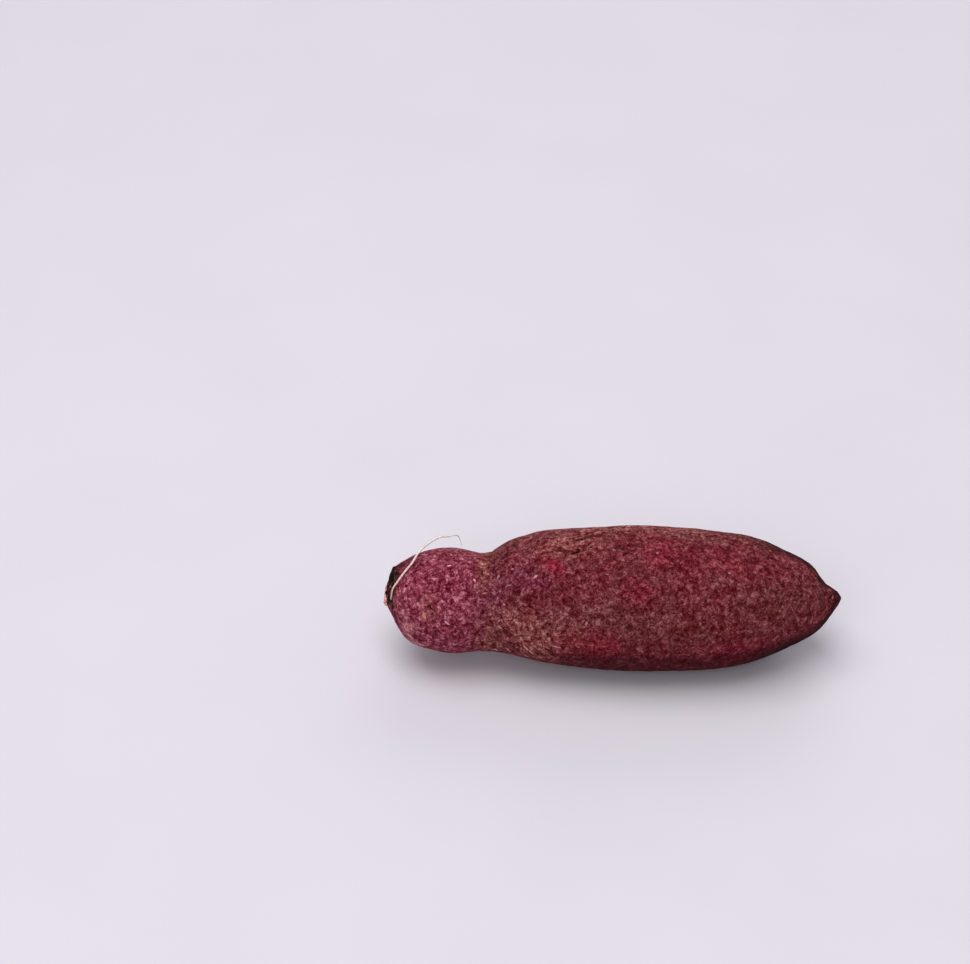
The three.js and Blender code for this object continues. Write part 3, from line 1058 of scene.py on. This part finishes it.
def flake_section(scar, share, turn):
    """Corners of a cut across the flake, up its inner side and down its outer side."""
    middle, facing, side, up = scar
    rise = share / FLAKE_PEAK if share < FLAKE_PEAK else (1 - share) / (1 - FLAKE_PEAK)
    ragged = 1 + 0.2 * math.sin(9 * share + 1) + 0.14 * math.sin(23 * share)
    tall = FLAKE_ROOT + FLAKE_HEIGHT * rise**0.6 * ragged
    thick = FLAKE_THICKNESS * math.sin(math.pi * (0.04 + 0.92 * share)) ** 0.5
    out = math.cos(turn) * side + math.sin(turn) * up
    inner = []
    outer = []
    for layer in range(FLAKE_LAYERS + 1):
        lift = layer / FLAKE_LAYERS
        radius = SCAR_RADIUS - FLAKE_INSET + FLAKE_FLARE * lift * lift
        inner.append(middle + out * radius + facing * (tall * lift - FLAKE_ROOT))
        outer.append(inner[-1] + out * thick * (1 - 0.7 * lift))
    return inner + outer[::-1]


def make_flake(scar):
    corners = []
    for step, turn in enumerate(np.radians(np.linspace(FLAKE_FROM, FLAKE_TO, FLAKE_STEPS))):
        corners.extend(flake_section(scar, step / (FLAKE_STEPS - 1), turn))
    columns = 2 * (FLAKE_LAYERS + 1)
    poles = [np.mean(corners[:columns], axis=0), np.mean(corners[-columns:], axis=0)]
    corners = [poles[0], *corners, poles[1]]
    made = add_object("torn_flake", corners, tube_faces(FLAKE_STEPS, columns), flake_material())
    tube_map(made.data, FLAKE_STEPS, columns)
    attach(made, "root")


# -------------------------------- floor, light and camera

VIEW_DISTANCE = 860 * MM
VIEW_LENS = 116.2  # millimetres, on a sensor as wide as given next
VIEW_SENSOR = 36
VIEW_NEAR, VIEW_FAR = 0.02, 30
AIM_LEFT = 34.9 * MM  # the picture's middle, from the root's own middle
AIM_UP = 31.2 * MM

FLOOR_SIZE = 8
SKY_COLOUR = (0.93, 0.94, 1.0, 1)
SKY_STRENGTH = 0.46

# Each soft panel: its name, where it stands, its width and height, its power and its colour.
PANELS = [
    ("top_panel", (-0.2, -0.1, 1.35), (1.3, 1.0), 14.5, (1.0, 0.985, 0.97)),
    ("back_panel", (0.3, 1.5, 1.0), (1.2, 0.8), 6, (1.0, 1.0, 1.0)),
    ("front_panel", (-0.5, -1.4, 1.1), (1.0, 0.8), 7.5, (1.0, 1.0, 1.0)),
]


def make_floor():
    bpy.ops.mesh.primitive_plane_add(size=FLOOR_SIZE, location=(0, 0, 0))
    floor = bpy.context.object
    floor.name = "floor"
    floor.data.materials.append(floor_material())


def make_camera():
    pitch = math.radians(VIEW_PITCH)
    middle = (cad_low + cad_high) / 2
    back = np.array([0, -math.cos(pitch), math.sin(pitch)])
    picture_up = np.array([0, math.sin(pitch), math.cos(pitch)])
    aim = np.array(middle) + np.array([-AIM_LEFT, 0, 0]) + AIM_UP * picture_up
    data = bpy.data.cameras.new("camera")
    data.lens = VIEW_LENS
    data.sensor_width = VIEW_SENSOR
    data.sensor_fit = "HORIZONTAL"
    data.clip_start = VIEW_NEAR
    data.clip_end = VIEW_FAR
    camera = bpy.data.objects.new("camera", data)
    camera.location = aim + VIEW_DISTANCE * back
    camera.rotation_euler = (math.pi / 2 - pitch, 0, 0)
    bpy.context.scene.collection.objects.link(camera)
    bpy.context.scene.camera = camera


def add_panel(name, location, size, power, colour):
    """A panel of light that faces the root."""
    data = bpy.data.lights.new(name, "AREA")
    data.shape = "RECTANGLE"
    data.size, data.size_y = size
    data.energy = power
    data.color = colour
    panel = bpy.data.objects.new(name, data)
    panel.location = location
    way = -np.array(location) / np.linalg.norm(location)
    panel.rotation_euler = (math.acos(-way[2]), 0, math.atan2(-way[0], way[1]))
    bpy.context.scene.collection.objects.link(panel)


def make_light():
    world = bpy.data.worlds.new("studio")
    world.use_nodes = True
    sky = world.node_tree.nodes["Background"]
    sky.inputs["Color"].default_value = SKY_COLOUR
    sky.inputs["Strength"].default_value = SKY_STRENGTH
    bpy.context.scene.world = world
    for panel in PANELS:
        add_panel(*panel)
    bpy.context.scene.view_settings.view_transform = "Standard"


# -------------------------------- the whole scene

skin = smooth_skin()
relief, hollow_shade = skin_relief(skin)
skin.raise_by(relief)
scar_place = scar_frame(skin)
scar, rim = cut_scar(skin, scar_place)

# How strongly each point belongs to each zone. The numbers are seeds of the uneven edges.
masks = {
    # painted shade in the creases, folds, pits and root scars
    "hollow_shade": hollow_shade * (1 - scar),
    "scar": np.clip(scar + 0.6 * rim, 0, 1),
    "crimson": patches(skin, CRIMSON_PATCHES, 51),
    "tan": patches(skin, TAN_PATCHES, 57),
    "grey": patches(skin, GREY_PATCHES, 63),
    "purple": patches(skin, PURPLE_PATCHES, 67),
    "blush": patches(skin, BLUSH_PATCHES, 71),
    "lobe": smoothstep(30, 22, skin.along + 1.5 * rough_noise(skin.points, 5, 73)),
    # painted shade on the body's lower side
    "under": painted_low_shade(skin),
    # painted shade on the tail's edges and tip, and on the lobe's shoulder
    "painted_shade": np.maximum(painted_tail_shade(skin), patches(skin, SHADE_PATCHES, 91)),
}
make_tuber(skin, masks)
make_hair_root(scar_place)
make_flake(scar_place)
make_floor()
make_camera()
make_light()
